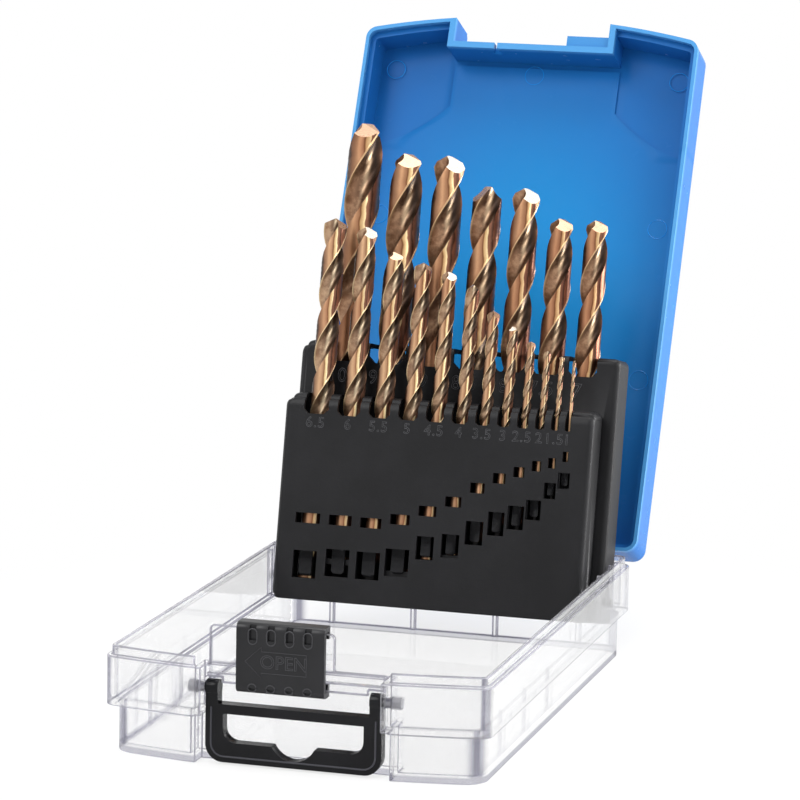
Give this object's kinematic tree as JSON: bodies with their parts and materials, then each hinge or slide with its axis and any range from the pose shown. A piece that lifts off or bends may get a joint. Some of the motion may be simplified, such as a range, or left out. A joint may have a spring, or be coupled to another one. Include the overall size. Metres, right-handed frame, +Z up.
{
  "type": "drill bit case",
  "caption": "Hinged clear-and-blue plastic case with a tilting black rack of twist drill bits, a slide latch and a bail handle, standing open.",
  "frame": {"origin": "on the ground, at the middle of the tray's underside", "axes": "+X to the right along the front edge, +Y from the front edge back to the hinge, +Z up"},
  "size_m": [0.1, 0.239, 0.1692],
  "materials": {
    "clear_plastic": "clear, glossy",
    "blue_plastic": "glossy, moulded",
    "rack_black": "matte, moulded",
    "latch_black": "satin, moulded",
    "handle_black": "semi-gloss, moulded",
    "bit_metal": "bronze-tempered, ground"
  },
  "bodies": {
    "tray": {"base_tray": "clear_plastic"},
    "lid": {"lid": "blue_plastic"},
    "rack": {"front_rack": "rack_black", "rear_rack": "rack_black"},
    "handle": {"handle": "handle_black"},
    "latch": {"latch_slider": "latch_black"},
    "bit_10_0": {"bit_10_0": "bit_metal"},
    "bit_1_0": {"bit_1_0": "bit_metal"},
    "bit_1_5": {"bit_1_5": "bit_metal"},
    "bit_2_0": {"bit_2_0": "bit_metal"},
    "bit_2_5": {"bit_2_5": "bit_metal"},
    "bit_3_0": {"bit_3_0": "bit_metal"},
    "bit_3_5": {"bit_3_5": "bit_metal"},
    "bit_4_0": {"bit_4_0": "bit_metal"},
    "bit_4_5": {"bit_4_5": "bit_metal"},
    "bit_5_0": {"bit_5_0": "bit_metal"},
    "bit_5_5": {"bit_5_5": "bit_metal"},
    "bit_6_0": {"bit_6_0": "bit_metal"},
    "bit_6_5": {"bit_6_5": "bit_metal"},
    "bit_7_0": {"bit_7_0": "bit_metal"},
    "bit_7_5": {"bit_7_5": "bit_metal"},
    "bit_8_0": {"bit_8_0": "bit_metal"},
    "bit_8_5": {"bit_8_5": "bit_metal"},
    "bit_9_0": {"bit_9_0": "bit_metal"},
    "bit_9_5": {"bit_9_5": "bit_metal"}
  },
  "joints": [
    {"name": "handle_swing", "type": "hinge", "parent": "tray", "child": "handle", "pos_m": [0, -0.0754, 0.0192], "axis": [-1, 0, 0], "range_deg": [0, 95]},
    {"name": "latch_slide", "type": "slide", "parent": "tray", "child": "latch", "axis": [-1, 0, 0], "range_m": [-0.0106, 0]},
    {"name": "lid_hinge", "type": "hinge", "parent": "tray", "child": "lid", "pos_m": [0, 0.0788, 0.025], "axis": [-1, 0, 0], "range_deg": [-115, 0]},
    {"name": "rack_fold", "type": "hinge", "parent": "tray", "child": "rack", "pos_m": [0, 0.0561, 0.018], "axis": [-1, 0, 0], "range_deg": [-102, 0]},
    {"name": "slide_bit_10_0", "type": "slide", "parent": "rack", "child": "bit_10_0", "axis": [0, 0.2079, 0.9781], "range_m": [0, 0.0708]},
    {"name": "slide_bit_1_0", "type": "slide", "parent": "rack", "child": "bit_1_0", "axis": [0, 0.2079, 0.9781], "range_m": [0, 0.0204]},
    {"name": "slide_bit_1_5", "type": "slide", "parent": "rack", "child": "bit_1_5", "axis": [0, 0.2079, 0.9781], "range_m": [0, 0.0255]},
    {"name": "slide_bit_2_0", "type": "slide", "parent": "rack", "child": "bit_2_0", "axis": [0, 0.2079, 0.9781], "range_m": [0, 0.0332]},
    {"name": "slide_bit_2_5", "type": "slide", "parent": "rack", "child": "bit_2_5", "axis": [0, 0.2079, 0.9781], "range_m": [0, 0.0389]},
    {"name": "slide_bit_3_0", "type": "slide", "parent": "rack", "child": "bit_3_0", "axis": [0, 0.2079, 0.9781], "range_m": [0, 0.0391]},
    {"name": "slide_bit_3_5", "type": "slide", "parent": "rack", "child": "bit_3_5", "axis": [0, 0.2079, 0.9781], "range_m": [0, 0.0441]},
    {"name": "slide_bit_4_0", "type": "slide", "parent": "rack", "child": "bit_4_0", "axis": [0, 0.2079, 0.9781], "range_m": [0, 0.0422]},
    {"name": "slide_bit_4_5", "type": "slide", "parent": "rack", "child": "bit_4_5", "axis": [0, 0.2079, 0.9781], "range_m": [0, 0.044]},
    {"name": "slide_bit_5_0", "type": "slide", "parent": "rack", "child": "bit_5_0", "axis": [0, 0.2079, 0.9781], "range_m": [0, 0.0478]},
    {"name": "slide_bit_5_5", "type": "slide", "parent": "rack", "child": "bit_5_5", "axis": [0, 0.2079, 0.9781], "range_m": [0, 0.0523]},
    {"name": "slide_bit_6_0", "type": "slide", "parent": "rack", "child": "bit_6_0", "axis": [0, 0.2079, 0.9781], "range_m": [0, 0.0458]},
    {"name": "slide_bit_6_5", "type": "slide", "parent": "rack", "child": "bit_6_5", "axis": [0, 0.2079, 0.9781], "range_m": [0, 0.0518]},
    {"name": "slide_bit_7_0", "type": "slide", "parent": "rack", "child": "bit_7_0", "axis": [0, 0.2079, 0.9781], "range_m": [0, 0.0708]},
    {"name": "slide_bit_7_5", "type": "slide", "parent": "rack", "child": "bit_7_5", "axis": [0, 0.2079, 0.9781], "range_m": [0, 0.0708]},
    {"name": "slide_bit_8_0", "type": "slide", "parent": "rack", "child": "bit_8_0", "axis": [0, 0.2079, 0.9781], "range_m": [0, 0.0708]},
    {"name": "slide_bit_8_5", "type": "slide", "parent": "rack", "child": "bit_8_5", "axis": [0, 0.2079, 0.9781], "range_m": [0, 0.0708]},
    {"name": "slide_bit_9_0", "type": "slide", "parent": "rack", "child": "bit_9_0", "axis": [0, 0.2079, 0.9781], "range_m": [0, 0.0708]},
    {"name": "slide_bit_9_5", "type": "slide", "parent": "rack", "child": "bit_9_5", "axis": [0, 0.2079, 0.9781], "range_m": [0, 0.0708]}
  ],
  "couplings": [
    {"joint": "rack_fold", "follows": "lid_hinge", "ratio": 0.88696}
  ]
}
